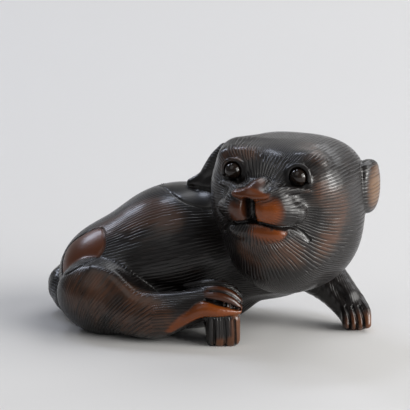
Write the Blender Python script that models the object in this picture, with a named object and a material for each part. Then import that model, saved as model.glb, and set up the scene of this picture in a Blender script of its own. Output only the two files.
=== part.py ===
"""Carved wooden netsuke of a resting puppy with inlaid horn eyes, in metres, +Z up.

The puppy lies with its rump towards -X and its chest towards +X, and turns its head to look out over -Y.
Its body is one piece of wood. The form is a field: a function that is negative inside the wood and about as
many shares from nought as the point is from the surface. Eggs, limbs and slabs are blended in it, and grooves
and holes are taken out of it. A grid of cells is wrapped round the field, and its corners are then moved on
to the surface. The pose and the carving are written in shares of the figure's length, so they follow LENGTH.
The cord holes and the eyes have sizes of their own.
"""

import math

import bpy
import numpy as np

MM = 0.001
SHARES = 41.9  # shares in the figure's length: at the nominal length one share is one millimetre
LENGTH = 41.9 * MM  # from the tail to the far ear
SHARE = LENGTH / SHARES

# The cord goes in at one hole in the belly and comes out at the other, and its knot hides in the wide one.
KNOT_HOLE = 7.4 * MM  # diameter of the wide hole
CORD_HOLE = 4.6 * MM  # diameter of the narrow hole
BRIDGE_WIDTH = 3.8 * MM  # of the wood between the two holes, along the belly
BRIDGE_DEPTH = 2.6 * MM  # of the same wood, from the belly up to the channel

EYE_RADIUS = 1.05 * MM  # of the horn bead
EYE_GAP = 0.25 * MM  # between the bead and the socket's wall

CELL = 0.48  # shares, of the grid that the surface is read from
BODY_TRIANGLES = 9000
MIDDLE = np.array([-0.2, -0.8, 0.0])  # shares: the figure's own point that stands on the world's origin
GRID_LOW = (-23.0, -18.5, -1.6)  # shares: the corners of the box that the figure lies in
GRID_HIGH = (22.5, 17.5, 26.5)


def turned(yaw=0.0, roll=0.0):
    """Columns are a form's own X, Y and Z, turned by roll about Y, then by yaw about Z."""
    y, r = math.radians(yaw), math.radians(roll)
    about_z = np.array([[math.cos(y), -math.sin(y), 0], [math.sin(y), math.cos(y), 0], [0, 0, 1]])
    about_y = np.array([[math.cos(r), 0, math.sin(r)], [0, 1, 0], [-math.sin(r), 0, math.cos(r)]])
    return about_z @ about_y


def egg(p, centre, radii, axes=None):
    """Ellipsoid. With q the point in its frame, n = |q/r| and s = |q/r^2|, the distance is n (n - 1) / s."""
    q = p - np.array(centre)
    q = q if axes is None else q @ axes
    near = np.linalg.norm(q / np.array(radii), axis=1)
    steep = np.linalg.norm(q / np.array(radii) ** 2, axis=1)
    return near * (near - 1) / np.maximum(steep, 1e-9)


def slab(p, centre, half, corner):
    """Box with rounded edges: the distance to a smaller box, less the corner's radius."""
    q = np.abs(p - np.array(centre)) - (np.array(half) - corner)
    return np.linalg.norm(np.maximum(q, 0), axis=1) + np.minimum(q.max(axis=1), 0) - corner


def pillow(p, centre, half, power):
    """Rounded block: with u = |q/h| and n = (sum of u^k)^(1/k), the distance is about (n - 1) / slope of n."""
    u = np.abs(p - np.array(centre)) / np.array(half)
    n = np.maximum((u**power).sum(axis=1) ** (1 / power), 1e-6)
    slope = np.linalg.norm(u ** (power - 1) / np.array(half), axis=1) * n ** (1 - power)
    return (n - 1) / np.maximum(slope, 1e-6)


def curve_through(knots, steps):
    """Catmull-Rom curve through the knots, whatever the number of values in a knot."""
    k = np.array(knots, float)
    k = np.vstack([2 * k[0] - k[1], k, 2 * k[-1] - k[-2]])
    t = np.linspace(0, 1, steps, endpoint=False)[:, None]
    pieces = []
    for a, b, c, d in zip(k[:-3], k[1:-2], k[2:-1], k[3:]):
        bend = (2 * a - 5 * b + 4 * c - d) * t**2 + (3 * b - a - 3 * c + d) * t**3
        pieces.append(b + ((c - a) * t + bend) / 2)
    return np.vstack(pieces + [k[-2:-1]])


def limb(p, knots, steps=3):
    """Tapered tube along a smooth curve through the knots (x, y, z, radius), with round ends."""
    path = curve_through(knots, steps)
    nearest = np.full(len(p), np.inf)
    for start, end in zip(path[:-1], path[1:]):
        run = end[:3] - start[:3]
        from_start = p - start[:3]
        t = np.clip(from_start @ run / (run @ run), 0, 1)
        away = np.linalg.norm(from_start - t[:, None] * run, axis=1)
        nearest = np.minimum(nearest, away - start[3] - t * (end[3] - start[3]))
    return nearest


def blend(a, b, reach):
    """Union whose crease is filled to a soft hollow over that reach."""
    h = np.maximum(reach - np.abs(a - b), 0) / reach
    return np.minimum(a, b) - h * h * h * reach / 6


def carve(a, b, reach):
    """a with b taken away, the edge rounded over that reach."""
    return -blend(-a, b, reach)


def engraved(form, distance, width, depth):
    """The form pushed in by depth where distance is nought, rising to nothing at width: depth (1 - t^2)^2."""
    t = np.clip(distance / width, 0, 1)
    return form + depth * (1 - t * t) ** 2


def from_line(p, axes, knots):
    """Distance to a smooth flat curve, seen along the axis that is left out."""
    path = curve_through(knots, 4)
    flat = p[:, axes]
    nearest = np.full(len(p), np.inf)
    for start, end in zip(path[:-1], path[1:]):
        run = end - start
        t = np.clip((flat - start) @ run / (run @ run), 0, 1)
        nearest = np.minimum(nearest, np.linalg.norm(flat - start - t[:, None] * run, axis=1))
    return nearest


def only_where(inside, distance):
    """The distance inside that region, and too far to matter elsewhere."""
    return np.where(inside, distance, 9)


# Head. In its own frame X is the viewer's right, the face looks towards -Y, and Z is up.
HEAD = np.array([9.2, -4.5, 15.2])
HEAD_AXES = turned(yaw=-24)
EYE = np.array([4.25, -7.1, 6.5])  # in the head's frame, on the viewer's right
MOUTH = [(0, 1.3), (1.2, 1.2), (2.3, 0.96), (3.6, 0.6), (4.5, 0.1)]  # X and Z on the face


def in_head(p):
    return (p - HEAD) @ HEAD_AXES


def both_sides(knots):
    """A curve from the middle of the face outwards, joined to its mirror image."""
    return [(-x, *rest) for x, *rest in knots[:0:-1]] + knots


def skull(q):
    """Round head with a flat crown, tapering to the chin, with a short broad muzzle."""
    form = pillow(q, (-0.1, 0.5, 2.8), (9.1, 8.7, 6.95), 2.7)
    form = blend(form, egg(q, (0.3, 1.2, -0.8), (8.8, 7.4, 9.0)), 1.5)
    form = blend(form, egg(q, (0.2, -1.8, -1.6), (7.4, 6.9, 7.9)), 1.5)
    form = blend(form, egg(q, (0, -5.6, 2.6), (6.0, 4.0, 3.4)), 1.6)
    form = blend(form, egg(q, (0, -5.0, -1.2), (5.2, 5.4, 3.8)), 1.6)
    form = blend(form, slab(q, (0, -7.2, 2.9), (4.3, 4.0, 2.8), 2.4), 1.6)
    return carve(form, limb(q, [(0, -8.4, 10.6, 1.2), (0, -10.2, 8.4, 1.4)]), 1.8)


def eye_surrounds(form, q):
    """Low brow, hollow round the bead, fold that runs back from the nose, and crease behind the muzzle."""
    for side in (-1, 1):
        form = blend(form, egg(q, (side * 4.4, -4.8, 7.8), (2.6, 1.6, 1.3)), 2.2)
        form = carve(form, egg(q, (side * EYE[0], EYE[1] - 1.5, EYE[2] - 0.1), (1.9, 1.7, 1.6)), 1.0)
        fold = [(side * 2.0, -11.0, 5.0, 0.3), (side * 2.9, -9.9, 5.2, 0.5), (side * 4.3, -8.5, 5.1, 0.65)]
        form = blend(form, limb(q, fold + [(side * 6.1, -7.3, 4.9, 0.2)]), 0.5)
        crease = [(side * 6.0, -8.6, 4.2, 0.5), (side * 6.6, -8.1, 3.0, 1.0), (side * 6.5, -7.9, 1.5, 1.0)]
        form = carve(form, limb(q, crease + [(side * 6.0, -7.8, 0.0, 0.5)]), 1.0)
    return form


def nose_and_mouth(form, q):
    """Lip pads parted by a deep split, a three-cornered nose above them, and the long mouth."""
    for side in (-1, 1):
        form = blend(form, slab(q, (side * 1.95, -9.7, 2.75), (1.75, 1.9, 1.5), 1.0), 0.9)
        form = blend(form, egg(q, (side * 1.3, -9.5, -0.1), (2.4, 1.35, 1.1)), 0.7)
    nose = limb(q, [(0.1, -11.2, 4.75, 0.9), (0.1, -10.2, 5.2, 0.95), (0.1, -9.2, 5.5, 0.8)])
    for side in (-1, 1):
        wing = [(0, -11.6, 4.8, 0.75), (side * 1.3, -11.55, 4.7, 0.55), (side * 2.2, -11.4, 4.45, 0.35)]
        nose = blend(nose, limb(q, wing), 0.5)
    form = blend(form, nose, 0.45)
    in_front = q[:, 1] < -3.5
    split = from_line(q, [0, 2], [(-0.1, 3.5), (-0.1, 2.6), (-0.1, 2.0)])
    form = engraved(form, only_where(in_front, split), 0.75, 0.8)
    mouth = from_line(q, [0, 2], both_sides(MOUTH))
    return engraved(form, only_where(in_front, mouth), 0.5, 0.4)


def hanging_ear(q):
    """The ear on the viewer's right hangs down the side of the head."""
    flap = pillow(q, (8.85, 4.9, 3.2), (0.85, 2.8, 3.2), 2.4)
    return blend(flap, egg(q, (8.4, 4.8, 5.6), (1.1, 2.4, 1.0)), 0.8)


def swept_ear(p):
    """The ear on the viewer's left is swept back, and its tip lies on the shoulder."""
    knots = [(1.5, 1.2, 22.1, 0.9), (0.6, 1.5, 20.8, 1.1), (0.0, 1.7, 19.4, 1.3), (-1.0, 2.0, 18.3, 1.0)]
    form = limb(p, knots + [(-2.7, 2.4, 17.6, 0.6)])
    return blend(form, limb(p, [(-1.6, 2.0, 17.3, 0.7), (0.0, 1.4, 17.6, 1.3), (1.6, 0.6, 18.0, 1.6)]), 0.8)


def trunk(p):
    """Rump, back, chest and neck, on a flat belly."""
    form = egg(p, (-11.2, 3.4, 5.4), (8.4, 8.6, 7.4))
    form = blend(form, egg(p, (-4.6, 3.4, 8.8), (9.8, 9.4, 8.4), turned(roll=-18)), 3.5)
    form = blend(form, egg(p, (5.5, 3.4, 9.4), (8.8, 7.8, 7.4)), 3.5)
    form = blend(form, egg(p, (4.5, 2.5, 14.0), (7.0, 6.0, 4.6)), 2.5)
    return blend(form, egg(p, (-5.6, 3.6, 3.4), (12.0, 9.4, 4.8)), 1.0)


def near_hind_leg(p):
    """Haunch, shank and long foot, with a ridge along the top, three toes and the sole turned outwards."""
    form = egg(p, (-13.1, -2.9, 4.4), (6.4, 5.2, 5.0), turned(roll=8))
    shank = [(-10.6, -6.0, 3.6, 3.3), (-7.4, -7.8, 3.2, 2.9), (-4.6, -8.8, 3.9, 2.4), (-0.9, -9.1, 5.0, 1.9)]
    form = blend(form, limb(p, shank + [(1.2, -9.2, 4.7, 1.6)]), 1.2)
    ridge = [(-14.8, -5.2, 7.8, 1.0), (-12.4, -6.2, 7.3, 1.1), (-10.9, -7.2, 6.1, 1.2), (-9.3, -8.2, 5.1, 1.2)]
    ridge += [(-6.6, -8.8, 5.1, 1.2), (-3.6, -9.6, 5.6, 1.0), (-1.2, -9.8, 6.2, 0.8)]
    form = blend(form, limb(p, ridge), 1.0)
    toes = np.full(len(p), np.inf)
    for n in range(3):
        y, z = -10.4 + 0.9 * n, 6.2 + 0.58 * n
        toe = [(-3.4, y + 1.0, z - 0.5, 0.3), (-1.2, y + 0.2, z, 0.5), (0.6, y, z, 0.6)]
        toes = np.minimum(toes, limb(p, toe + [(2.1, y + 0.1, z - 0.5, 0.55), (3.1, y + 0.4, z - 1.4, 0.45)]))
    form = blend(form, toes, 0.15)
    sole = [(-5.4, -9.6, 1.9, 0.5), (-4.2, -10.3, 3.0, 0.65), (-2.6, -10.8, 4.1, 0.75)]
    sole += [(-1.2, -10.9, 4.8, 0.95), (0.4, -11.1, 4.65, 0.75), (2.0, -10.9, 4.5, 0.5), (3.1, -10.4, 4.4, 0.35)]
    form = blend(form, limb(p, sole), 0.4)
    slot = from_line(p, [0, 2], [(-0.9, 6.0), (0.57, 5.72), (1.8, 5.2), (3.2, 4.7)])
    return engraved(form, only_where(p[:, 1] < -8.5, slot), 0.4, 0.4)


FLANK_CREASE = [(-13.9, -5.4, 9.0, 0.3), (-10.6, -5.9, 8.0, 0.4), (-8.3, -5.7, 6.5, 0.5)]
FLANK_CREASE += [(-4.5, -5.8, 5.9, 0.5)]


def near_fore_leg(p):
    paw = slab(p, (1.2, -8.4, 2.05), (2.1, 2.55, 2.2), 1.0)
    return blend(paw, limb(p, [(1.0, -8.0, 1.9, 1.7), (0.4, -4.0, 3.2, 2.2), (1.0, 0.0, 5.0, 2.8)]), 1.0)


def far_fore_leg(p):
    form = limb(p, [(11.5, 3.0, 7.5, 3.6), (14.4, 1.0, 5.4, 2.7), (16.6, -0.8, 3.4, 2.1)])
    form = blend(form, limb(p, [(16.4, -0.6, 3.4, 1.9), (17.6, -1.6, 1.9, 1.9)]), 0.8)
    return blend(form, egg(p, (17.8, -2.4, 1.5), (1.95, 1.9, 2.0)), 0.6)


def far_hind_leg(p):
    form = egg(p, (-11.5, 9.4, 4.8), (6.6, 4.6, 5.2))
    return blend(form, limb(p, [(-8.0, 11.6, 2.6, 2.6), (-3.4, 12.6, 2.0, 2.1), (0.4, 12.4, 1.6, 1.9)]), 1.2)


def tail(p):
    """The tail comes from the far side and is pressed round the back of the rump."""
    knots = [(-15.6, 10.6, 5.2, 1.6), (-17.2, 8.6, 4.4, 2.0), (-18.75, 5.8, 3.7, 2.4), (-18.3, 3.3, 2.6, 2.0)]
    return limb(p, knots)


def toe_grooves(form, p):
    """Cuts down the front of each fore paw."""
    near_paw = (p[:, 1] < -9.0) & (p[:, 2] < 4.4)
    for x in (2.65, 1.45, 0.15):
        groove = from_line(p, [0, 2], [(x, -1), (x, 1.5), (x - 0.1, 3.4)])
        form = engraved(form, only_where(near_paw, groove), 0.42, 0.4)
    far_paw = (p[:, 1] < -2.5) & (p[:, 0] > 14)
    for x in (17.05, 17.9, 18.75):
        groove = from_line(p, [0, 2], [(x + 0.1, -1), (x, 1.5), (x - 0.4, 3.0)])
        form = engraved(form, only_where(far_paw, groove), 0.4, 0.3)
    return form


BRIDGE = (-5.4, 3.5)  # middle of the wood between the cord holes


def cord_channel(p):
    """Curved tapered channel between the two holes under the belly, at its own real size."""
    wide, narrow = KNOT_HOLE / SHARE / 2, CORD_HOLE / SHARE / 2
    bridge, rise = BRIDGE_WIDTH / SHARE, BRIDGE_DEPTH / SHARE
    middle = (wide + narrow) / 2
    x, y = BRIDGE
    start, end = (x - bridge / 2 - wide, y), (x + bridge / 2 + narrow, y)
    knots = [(*start, -2.0, wide), (*start, 2.8, wide), (x, y, rise + middle, middle)]
    return limb(p, knots + [(*end, 1.6, narrow), (*end, -2.0, narrow)], steps=4)


def body_field(p):
    """The whole carved body; negative inside the wood. The floor that the figure stands on cuts it later."""
    q = in_head(p)
    head = blend(skull(q), hanging_ear(q), 0.3)
    head = nose_and_mouth(eye_surrounds(head, q), q)
    form = carve(blend(trunk(p), far_fore_leg(p), 1.2), limb(p, FLANK_CREASE), 0.8)
    form = blend(form, near_fore_leg(p), 1.0)
    form = blend(form, near_hind_leg(p), 0.6)
    form = blend(form, far_hind_leg(p), 0.6)
    form = blend(form, tail(p), 0.3)
    form = blend(form, swept_ear(p), 0.3)
    form = blend(form, head, 0.3)
    form = toe_grooves(form, p)
    form = carve(form, cord_channel(p), 0.4)
    socket = (EYE_RADIUS + EYE_GAP) / SHARE
    for side in (-1, 1):
        form = np.maximum(form, socket - np.linalg.norm(q - EYE * (side, 1, 1), axis=1))
    return form


def sampled(field, low, high, cell, skip=4):
    """Grid points and the field at them. Far from the surface each point takes its coarse neighbour's value."""
    axes = [low[i] + cell * np.arange(skip * math.ceil((high[i] - low[i]) / cell / skip)) for i in range(3)]
    grid = np.stack(np.meshgrid(*axes, indexing="ij"), axis=-1)
    middle = skip // 2
    coarse = grid[middle::skip, middle::skip, middle::skip]
    value = field(coarse.reshape(-1, 3)).reshape(coarse.shape[:3])
    for axis in range(3):
        value = value.repeat(skip, axis=axis)
    near = np.abs(value) < 1.3 * skip * cell
    value[near] = field(grid[near])
    return grid, value


CORNERS = [(i, j, k) for i in (0, 1) for j in (0, 1) for k in (0, 1)]


def joined(corners):
    """Whether these corners of a cell are joined to each other by edges of the cell."""
    reached = set(corners[:1])
    for _ in corners:
        reached |= {c for c in corners for r in reached if sum(a != b for a, b in zip(c, r)) == 1}
    return len(reached) == len(corners)


def crossed_twice(code):
    """Whether the surface would pass twice through a cell whose inner corners are the code's bits."""
    inner = [c for bit, c in enumerate(CORNERS) if code >> bit & 1]
    outer = [c for c in CORNERS if c not in inner]
    faces = [[c for c in CORNERS if c[axis] == side] for axis in range(3) for side in (0, 1)]
    shared = [[c for c in face if c in inner] for face in faces]
    split = any(len(corners) == 2 and not joined(corners) for corners in shared)
    return split or not joined(inner) or not joined(outer)


def single_walled(value):
    """The grid's values with wood in each cell that would be crossed twice: the net then can't touch itself."""
    table = np.array([crossed_twice(code) for code in range(256)])
    inside = value < 0
    views = [tuple(slice(o, n - 1 + o) for o, n in zip(corner, value.shape)) for corner in CORNERS]
    while True:
        code = sum(inside[view].astype(np.uint16) << bit for bit, view in enumerate(views))
        twice = table[code]
        if not twice.any():
            return np.where(inside & (value >= 0), -1e-3, value)
        for view in views:
            inside[view] |= twice


def wrapped(field, low, high, cell):
    """Surface nets: each cell that the surface crosses gets a corner, at the mean of the crossings on its
    edges, and each crossed edge of the grid gets a four-sided face between the cells round it."""
    grid, value = sampled(field, low, high, cell)
    value = single_walled(value)
    cells = [n - 1 for n in value.shape]
    total, count = np.zeros(cells + [3]), np.zeros(cells)
    rings = []
    for axis in range(3):
        lower = tuple(slice(0, -1) if a == axis else slice(None) for a in range(3))
        upper = tuple(slice(1, None) if a == axis else slice(None) for a in range(3))
        crossed = (value[lower] < 0) != (value[upper] < 0)
        start, end = value[lower][crossed], value[upper][crossed]
        point = grid[lower][crossed]
        point[:, axis] += cell * start / (start - end)
        first, second = (a for a in range(3) if a != axis)
        ring = []
        for back_first, back_second in ((0, 0), (1, 0), (1, 1), (0, 1)):
            corner = np.argwhere(crossed)
            corner[:, first] -= back_first
            corner[:, second] -= back_second
            np.add.at(total, tuple(corner.T), point)
            np.add.at(count, tuple(corner.T), 1)
            ring.append(corner)
        reverse = (start < 0) == (axis != 1)
        rings.append((np.stack(ring), reverse))
    number = np.cumsum(count.ravel() > 0).reshape(cells) - 1
    points = total[count > 0] / count[count > 0][:, None]
    faces = []
    for ring, reverse in rings:
        quads = number[tuple(np.moveaxis(ring, -1, 0))].T
        faces.append(np.where(reverse[:, None], quads, quads[:, ::-1]))
    return points, np.vstack(faces)


def settled(field, p, step=0.02, most=0.3):
    """Each point moved along the field's slope on to the surface: one step of Newton's method."""
    value = field(p)
    slope = np.stack([(field(p + step * d) - value) / step for d in np.eye(3)], axis=1)
    move = -(value / np.maximum((slope * slope).sum(axis=1), 0.1))[:, None] * slope
    size = np.linalg.norm(move, axis=1, keepdims=True)
    return p + move * np.minimum(1, most / np.maximum(size, 1e-9))


def material(name, colour, roughness):
    made = bpy.data.materials.new(name)
    made.use_nodes = True
    shader = made.node_tree.nodes["Principled BSDF"]
    shader.inputs["Base Color"].default_value = (*colour, 1)
    shader.inputs["Roughness"].default_value = roughness
    shader.inputs["Metallic"].default_value = 0
    made.diffuse_color = (*colour, 1)
    return made


def linked(name, mesh, made):
    obj = bpy.data.objects.new(name, mesh)
    bpy.context.scene.collection.objects.link(obj)
    mesh.materials.append(made)
    return obj


def floor_cutter():
    """Block under the figure that leaves its belly, haunches and paws flat."""
    deep = 4 * SHARE
    bpy.ops.mesh.primitive_cube_add(size=1, location=(0, 0, -deep / 2))
    cutter = bpy.context.object
    cutter.name = "floor_cutter"
    cutter.scale = (2 * LENGTH, 2 * LENGTH, deep)
    cutter.hide_render = True
    cutter.display_type = "WIRE"
    return cutter


def carved_puppy():
    points, faces = wrapped(body_field, GRID_LOW, GRID_HIGH, CELL)
    points = settled(body_field, points)
    mesh = bpy.data.meshes.new("carved_puppy")
    mesh.from_pydata(((points - MIDDLE) * SHARE).tolist(), [], faces.tolist())
    mesh.shade_smooth()
    body = linked("carved_puppy", mesh, material("stained_wood", (0.06, 0.03, 0.018), 0.35))
    fewer = body.modifiers.new("fewer_faces", "DECIMATE")
    fewer.ratio = BODY_TRIANGLES / (2 * len(faces))
    flat = body.modifiers.new("flat_underside", "BOOLEAN")
    flat.operation = "DIFFERENCE"
    flat.object = floor_cutter()
    return body


def eye_inlay(name, side):
    centre = (HEAD + HEAD_AXES @ (EYE * (side, 1, 1)) - MIDDLE) * SHARE
    bpy.ops.mesh.primitive_uv_sphere_add(segments=20, ring_count=12, radius=EYE_RADIUS, location=centre)
    bead = bpy.context.object
    bead.name = name
    bead.data.name = name
    bead.data.shade_smooth()
    bead.data.materials.append(material(name + "_horn", (0.012, 0.01, 0.009), 0.12))
    return bead


for old in list(bpy.data.objects):
    bpy.data.objects.remove(old)
carved_puppy()
eye_inlay("right_eye_inlay", -1)  # the puppy's own right
eye_inlay("left_eye_inlay", 1)
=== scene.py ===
"""How a carved netsuke of a resting puppy looks: dark polished wood, fine cut hair, worn stain, horn eyes."""
import math

import bpy
import numpy as np
from mathutils import Matrix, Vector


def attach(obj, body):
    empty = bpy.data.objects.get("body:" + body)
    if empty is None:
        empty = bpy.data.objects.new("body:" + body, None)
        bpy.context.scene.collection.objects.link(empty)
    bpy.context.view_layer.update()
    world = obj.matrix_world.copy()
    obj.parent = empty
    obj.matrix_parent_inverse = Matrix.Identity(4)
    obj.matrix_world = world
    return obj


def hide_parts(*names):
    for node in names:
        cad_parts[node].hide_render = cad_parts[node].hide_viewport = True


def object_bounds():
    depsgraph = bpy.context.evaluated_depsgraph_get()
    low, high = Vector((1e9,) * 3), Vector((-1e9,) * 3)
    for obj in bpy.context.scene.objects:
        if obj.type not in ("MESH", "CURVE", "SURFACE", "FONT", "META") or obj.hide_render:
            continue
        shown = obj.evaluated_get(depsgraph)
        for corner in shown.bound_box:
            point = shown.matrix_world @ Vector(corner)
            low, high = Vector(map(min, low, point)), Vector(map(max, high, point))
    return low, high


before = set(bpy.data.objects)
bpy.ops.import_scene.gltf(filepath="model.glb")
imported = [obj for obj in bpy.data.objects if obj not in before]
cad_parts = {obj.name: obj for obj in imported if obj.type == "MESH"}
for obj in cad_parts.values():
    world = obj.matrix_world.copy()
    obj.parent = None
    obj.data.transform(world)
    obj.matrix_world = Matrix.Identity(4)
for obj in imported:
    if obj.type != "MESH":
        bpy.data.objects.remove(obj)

cad_low, cad_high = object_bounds()

# The carved puppy
# One block of dense wood, carved all over, stained near black and polished. It takes the place of the solid,
# with the same form cut finer and a deeper hollow under the chest. All of it is written in millimetres in the
# carver's own frame, then put on the origin.
MM = 0.001
MIDDLE = np.array([-0.2, -0.8, 0.0])
SOCKET = 1.13
CELL = 0.42
GRID_LOW = (-23.0, -18.5, -1.6)
GRID_HIGH = (22.5, 17.5, 26.5)


def turned(yaw=0.0, roll=0.0):
    """Columns are a form's own X, Y and Z, turned by roll about Y, then by yaw about Z."""
    y, r = math.radians(yaw), math.radians(roll)
    about_z = np.array([[math.cos(y), -math.sin(y), 0], [math.sin(y), math.cos(y), 0], [0, 0, 1]])
    about_y = np.array([[math.cos(r), 0, math.sin(r)], [0, 1, 0], [-math.sin(r), 0, math.cos(r)]])
    return about_z @ about_y


def egg(p, centre, radii, axes=None):
    """Ellipsoid: with q the point in its frame, n = |q/r| and s = |q/r^2|, the distance is near n (n-1) / s."""
    q = p - np.array(centre)
    q = q if axes is None else q @ axes
    near = np.linalg.norm(q / np.array(radii), axis=1)
    steep = np.linalg.norm(q / np.array(radii) ** 2, axis=1)
    return near * (near - 1) / np.maximum(steep, 1e-9)


def slab(p, centre, half, corner):
    """Box with rounded edges: the distance to a smaller box, less the corner's radius."""
    q = np.abs(p - np.array(centre)) - (np.array(half) - corner)
    return np.linalg.norm(np.maximum(q, 0), axis=1) + np.minimum(q.max(axis=1), 0) - corner


def pillow(p, centre, half, power):
    """Rounded block: with u = |q/h| and n = (sum of u^k)^(1/k), the distance is near (n-1) / slope of n."""
    u = np.abs(p - np.array(centre)) / np.array(half)
    n = np.maximum((u**power).sum(axis=1) ** (1 / power), 1e-6)
    slope = np.linalg.norm(u ** (power - 1) / np.array(half), axis=1) * n ** (1 - power)
    return (n - 1) / np.maximum(slope, 1e-6)


def curve_through(knots, steps):
    """Catmull-Rom curve: between each pair of knots b and c it is
    b + (c-a)t/2 + (2a-5b+4c-d)t^2/2 + (3b-a-3c+d)t^3/2."""
    k = np.array(knots, float)
    k = np.vstack([2 * k[0] - k[1], k, 2 * k[-1] - k[-2]])
    t = np.linspace(0, 1, steps, endpoint=False)[:, None]
    pieces = []
    for a, b, c, d in zip(k[:-3], k[1:-2], k[2:-1], k[3:]):
        bend = (2 * a - 5 * b + 4 * c - d) * t**2 + (3 * b - a - 3 * c + d) * t**3
        pieces.append(b + ((c - a) * t + bend) / 2)
    return np.vstack(pieces + [k[-2:-1]])


def limb(p, knots, steps=3):
    """Tapered tube along a smooth curve through the knots (x, y, z, radius): the distance to each straight
    run, less the radius there, and the least of them."""
    path = curve_through(knots, steps)
    nearest = np.full(len(p), np.inf)
    for start, end in zip(path[:-1], path[1:]):
        run = end[:3] - start[:3]
        from_start = p - start[:3]
        t = np.clip(from_start @ run / (run @ run), 0, 1)
        away = np.linalg.norm(from_start - t[:, None] * run, axis=1)
        nearest = np.minimum(nearest, away - start[3] - t * (end[3] - start[3]))
    return nearest


def blend(a, b, reach):
    """Union with its crease filled: with h = max(reach - |a-b|, 0) / reach, min(a, b) - h^3 reach / 6."""
    h = np.maximum(reach - np.abs(a - b), 0) / reach
    return np.minimum(a, b) - h * h * h * reach / 6


def carve(a, b, reach):
    """a with b taken away, the edge rounded over that reach."""
    return -blend(-a, b, reach)


# The head, in its own frame: X is the viewer's right, the face looks towards -Y, and Z is up.
HEAD = np.array([9.2, -4.5, 15.2])
HEAD_AXES = turned(yaw=-24)
EYE = np.array([4.25, -7.1, 6.5])
# The mouth from the middle of the face outwards, and the split above it: X and Z, seen from the front.
MOUTH = [(0, 1.3), (1.2, 1.2), (2.3, 0.96), (3.85, 0.55), (4.8, -0.2), (5.5, -1.2)]
SPLIT = [(-0.5, 3.7), (-0.5, 2.6), (-0.35, 1.9)]
FRONT_OF_FACE = -3.5
TOO_FAR = 9


def in_head(p):
    return (p - HEAD) @ HEAD_AXES


def only_where(inside, distance):
    """The distance inside that region, and too far to matter elsewhere."""
    return np.where(inside, distance, TOO_FAR)


def both_sides(knots):
    """A curve from the middle of the face outwards, joined to its mirror image."""
    return [(-x, *rest) for x, *rest in knots[:0:-1]] + knots


def engraved(form, distance, width, depth):
    """The form pushed in by depth (1 - t^2)^2, where t is 0 at no distance and 1 at the width."""
    t = np.clip(distance / width, 0, 1)
    return form + depth * (1 - t * t) ** 2


def from_line(p, axes, knots):
    """Distance to a smooth flat curve, seen along the axis that is left out."""
    path = curve_through(knots, 4)
    flat = p[:, axes]
    nearest = np.full(len(p), np.inf)
    for start, end in zip(path[:-1], path[1:]):
        run = end - start
        t = np.clip((flat - start) @ run / (run @ run), 0, 1)
        nearest = np.minimum(nearest, np.linalg.norm(flat - start - t[:, None] * run, axis=1))
    return nearest


def skull(q):
    """Round head with a flat crown, tapering to the chin, with a short broad muzzle."""
    form = pillow(q, (-0.1, 0.5, 2.8), (9.1, 8.7, 6.95), 2.7)
    form = blend(form, egg(q, (0.3, 1.2, -0.8), (8.8, 7.4, 9.0)), 1.5)
    form = blend(form, egg(q, (0.2, -1.8, -1.6), (7.4, 6.9, 7.9)), 1.5)
    form = blend(form, egg(q, (0, -5.6, 2.6), (6.0, 4.0, 3.4)), 1.6)
    form = blend(form, egg(q, (0, -5.0, -1.2), (5.2, 5.4, 3.8)), 1.6)
    form = blend(form, slab(q, (0, -7.2, 2.9), (4.3, 4.0, 2.8), 2.4), 1.6)
    brow = [(-5.5, -2.2, 7.0, 2.6), (-3.0, -0.8, 7.1, 2.6), (-0.5, 0.4, 7.1, 2.6)]
    form = blend(form, limb(q, brow), 1.4)
    return carve(form, limb(q, [(0, -8.4, 10.6, 1.2), (0, -10.2, 8.4, 1.4)]), 1.8)


def eye_surrounds(form, q):
    """Low brow, hollow round each bead, fold that runs back from the nose under it, crease beside the lips
    and the edge of the upper lid."""
    for side in (-1, 1):
        form = blend(form, egg(q, (side * 4.4, -4.8, 7.8), (2.6, 1.6, 1.3)), 2.2)
        form = carve(form, egg(q, (side * EYE[0], EYE[1] - 1.5, EYE[2] - 0.1), (1.9, 1.6, 1.5)), 1.0)
        fold = [(side * 2.0, -11.0, 5.0, 0.3), (side * 2.9, -9.9, 5.2, 0.4), (side * 4.3, -8.5, 5.1, 0.45)]
        form = blend(form, limb(q, fold + [(side * 6.1, -7.3, 4.9, 0.2)]), 0.7)
        crease = [(side * 6.0, -8.6, 4.2, 0.5), (side * 6.6, -8.1, 3.0, 1.0), (side * 6.5, -7.9, 1.5, 1.0)]
        form = carve(form, limb(q, crease + [(side * 6.0, -7.8, 0.0, 0.5)]), 1.0)
        lid = []
        for turn in np.linspace(-0.3, math.pi + 0.3, 6):
            x = side * (EYE[0] + 1.4 * math.cos(turn))
            lid.append((x, EYE[1] - 0.05, EYE[2] + 1.4 * math.sin(turn), 0.25))
        form = blend(form, limb(q, lid), 0.8)
    return form


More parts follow.
